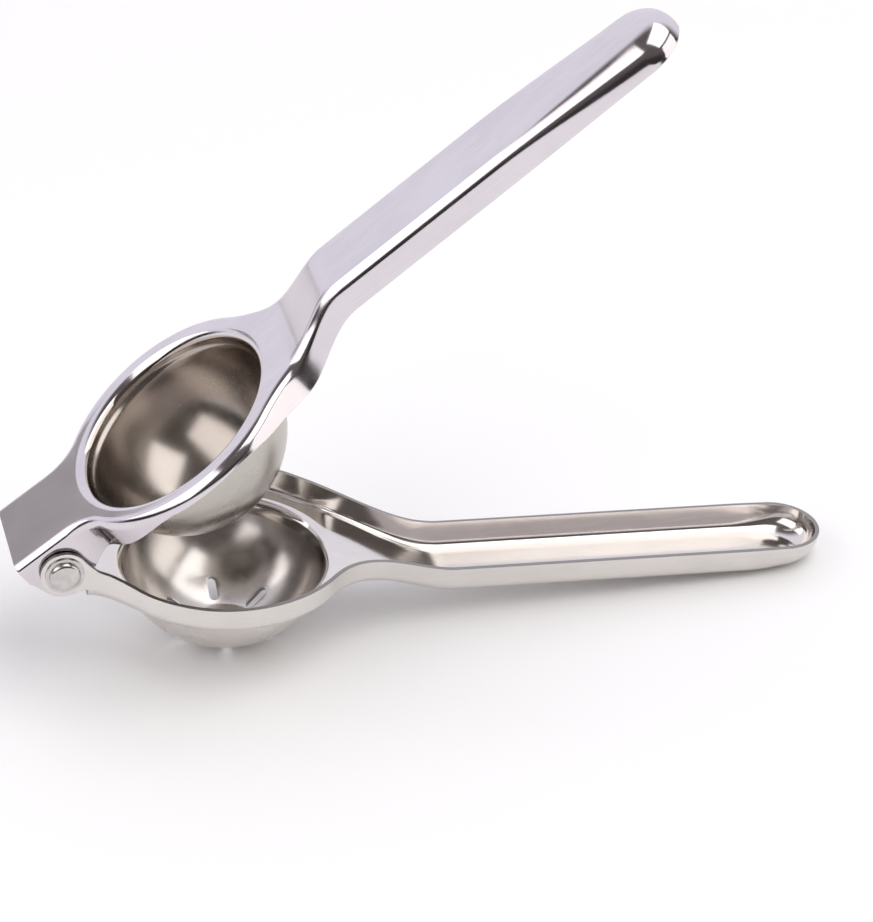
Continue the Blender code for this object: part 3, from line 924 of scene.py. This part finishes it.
def build_object():
    tilt = rest_tilt()
    hinge = Vector(frame["joints"][0]["pos_m"])
    bowl_frame = Matrix.Translation(hinge) @ Matrix.Rotation(tilt, 4, "Y")
    press_frame = bowl_frame @ Matrix.Rotation(math.radians(-OPENING), 4, "Y")

    press = press_arm(press_frame)
    bowl = bowl_arm(bowl_frame, tilt)
    cut_bores(press, hinge)
    cut_bores(bowl, hinge)

    pin_steel = turned_steel("pin_steel", bowl_frame, PIN_COLOUR)
    y0 = BOWL["nose_half"] + SEAT
    y1 = y0 + WASHER_T
    half = PRESS["nose_half"] - SHEET - SLEEVE_PLAY
    rivet = rivet_profile(y1 + SEAT, y1 + SEAT + HEAD_H)
    pin = turned_piece("hinge_rivet", rivet, bowl_frame, pin_steel)
    washer = tube_profile(BORE_R, WASHER_R, -y1, -y0, WASHER_ROUND)
    front = turned_piece("hinge_washer_front", washer, bowl_frame, pin_steel)
    washer = tube_profile(BORE_R, WASHER_R, y0, y1, WASHER_ROUND)
    rear = turned_piece("hinge_washer_rear", washer, bowl_frame, pin_steel)
    tube = tube_profile(SLEEVE_BORE, SLEEVE_R, -half, half, SLEEVE_ROUND)
    sleeve = turned_piece("hinge_spacer_sleeve", tube, bowl_frame, pin_steel)

    for piece, node, body, slot in (
            (press, "press_arm", "press_side", "press_steel"),
            (bowl, "bowl_arm", "bowl_side", "bowl_steel"),
            (pin, "hinge_pin", "bowl_side", "pin_steel"),
            (front, "washer_front", "bowl_side", "pin_steel"),
            (rear, "washer_rear", "bowl_side", "pin_steel"),
            (sleeve, "spacer_sleeve", "bowl_side", "pin_steel")):
        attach(piece, body)
        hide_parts(node)


# ---- the studio, in metres ------------------------------------------------------------------------
BACK_WALL = (0.96, 0.955, 1.04)     # radiance of the room behind the object
FRONT_WALL = (0.13, 0.115, 0.11)    # and on the camera's side
FRONT_FOOT = (0.04, 0.035, 0.035)   # where that side meets the floor
WALL_TURN = (0.10, 0.50)            # where the front wall turns into the back wall
FOOT_FADE = (0.15, 0.40)            # and where its foot fades out, both along a unit direction
PANELS = (                          # name, azimuth, elevation, angular size, radiance, colour
    ("top_panel", 115.0, 66.0, (56.0, 48.0), 1.95, (1.0, 1.0, 1.0)),
    ("left_panel", -107.0, 36.0, (74.0, 36.0), 1.6, (1.0, 0.98, 0.98)),
    ("right_panel", 112.0, 19.0, (46.0, 34.0), 1.45, (1.0, 0.97, 0.94)),
)
PANEL_DISTANCE = 3.0
FLOOR_HALF = 3.0
FLOOR_DROP = 0.0002                 # play between the object's feet and the floor
FLOOR_TONE = (0.98, 0.98, 0.98)
FLOOR_SHINE = 0.1
FLAG_PLACE = (-0.2296, 0.205, 0.114)    # small grey card, seen only in the metal
FLAG_AIM = (-0.1, 0.0, 0.042)       # nose of the upper arm, which mirrors it
FLAG_HALF = 0.034
FLAG_TONE = (0.50, 0.49, 0.49)
FLAG_SHINE = 0.5
MATT = 0.9                          # roughness of floor and card
CAMERA_PLACE = (-0.22856, -0.89924, 0.66152)
CAMERA_TURN = (14.466, 33.602, 0.959)   # azimuth, elevation and roll, degrees
CAMERA_LENS = 162.36                # mm, for a sensor 36 mm wide


def direction(azimuth, elevation):
    """Unit vector. Azimuth 0 looks along +Y and turns towards +X."""
    return Vector((math.sin(azimuth) * math.cos(elevation), math.cos(azimuth) * math.cos(elevation),
                   math.sin(elevation)))


def matt_square(name, half, paint, tone, shine):
    """Painted square about its own origin, facing up."""
    mesh = bpy.data.meshes.new(name)
    corners = [(-half, -half, 0.0), (half, -half, 0.0), (half, half, 0.0), (-half, half, 0.0)]
    mesh.from_pydata(corners, [], [(0, 1, 2, 3)])
    n = Nodes(bpy.data.materials.new(paint))
    shader = n.tree.nodes["Principled BSDF"]
    shader.inputs["Base Color"].default_value = (*tone, 1.0)
    shader.inputs["Roughness"].default_value = MATT
    shader.inputs["Specular IOR Level"].default_value = shine
    mesh.materials.append(n.owner)
    return link(bpy.data.objects.new(name, mesh))


def studio():
    """Pale floor, soft panels and a quiet room."""
    floor = matt_square("floor", FLOOR_HALF, "floor_paint", FLOOR_TONE, FLOOR_SHINE)
    floor.location.z = -FLOOR_DROP

    flag = matt_square("flag", FLAG_HALF, "flag_grey", FLAG_TONE, FLAG_SHINE)
    flag.location = FLAG_PLACE
    flag.rotation_euler = (Vector(FLAG_AIM) - flag.location).to_track_quat("Z", "Y").to_euler()
    flag.visible_camera = False
    flag.visible_diffuse = False
    flag.visible_shadow = False

    room()
    for name, azimuth, elevation, angles, radiance, colour in PANELS:
        light = bpy.data.lights.new(name, "AREA")
        light.shape = "RECTANGLE"
        width, height = (2.0 * PANEL_DISTANCE * math.tan(math.radians(0.5 * a)) for a in angles)
        light.size = width
        light.size_y = height
        light.energy = radiance * math.pi * width * height
        light.color = colour
        lamp = link(bpy.data.objects.new(name, light))
        away = direction(math.radians(azimuth), math.radians(elevation))
        lamp.location = away * PANEL_DISTANCE
        lamp.rotation_euler = (-away).to_track_quat("-Z", "Y").to_euler()
        lamp.visible_camera = False


def room():
    """The world: a pale wall behind the object that turns into a dim room on the camera's side."""
    world = bpy.data.worlds.new("studio")
    n = Nodes(world)
    away = n.axes(n.add("ShaderNodeTexCoord").outputs["Generated"])
    front = n.blend(n.ramp(away["Z"], *FOOT_FADE), FRONT_FOOT, FRONT_WALL)
    shade = n.blend(n.ramp(away["Y"], *WALL_TURN), front, BACK_WALL)
    n.wire(shade, n.tree.nodes["Background"].inputs["Color"])
    bpy.context.scene.world = world


def place_camera():
    """Long lens from the front left and above, as the press is seen with its handles to the right."""
    azimuth, elevation, roll = (math.radians(angle) for angle in CAMERA_TURN)
    forward = direction(azimuth, -elevation)
    right = Vector((math.cos(azimuth), -math.sin(azimuth), 0.0))
    up = right.cross(forward)
    turned_right = math.cos(roll) * right + math.sin(roll) * up
    turned_up = math.cos(roll) * up - math.sin(roll) * right
    data = bpy.data.cameras.new("camera")
    data.lens = CAMERA_LENS
    data.sensor_width = 36.0
    data.clip_start = 0.01
    camera = link(bpy.data.objects.new("camera", data))
    place = Matrix((turned_right, turned_up, -forward)).transposed().to_4x4()
    place.translation = CAMERA_PLACE
    camera.matrix_world = place
    bpy.context.scene.camera = camera
    bpy.context.scene.view_settings.view_transform = "Standard"


build_object()
studio()
place_camera()
bpy.context.view_layer.update()
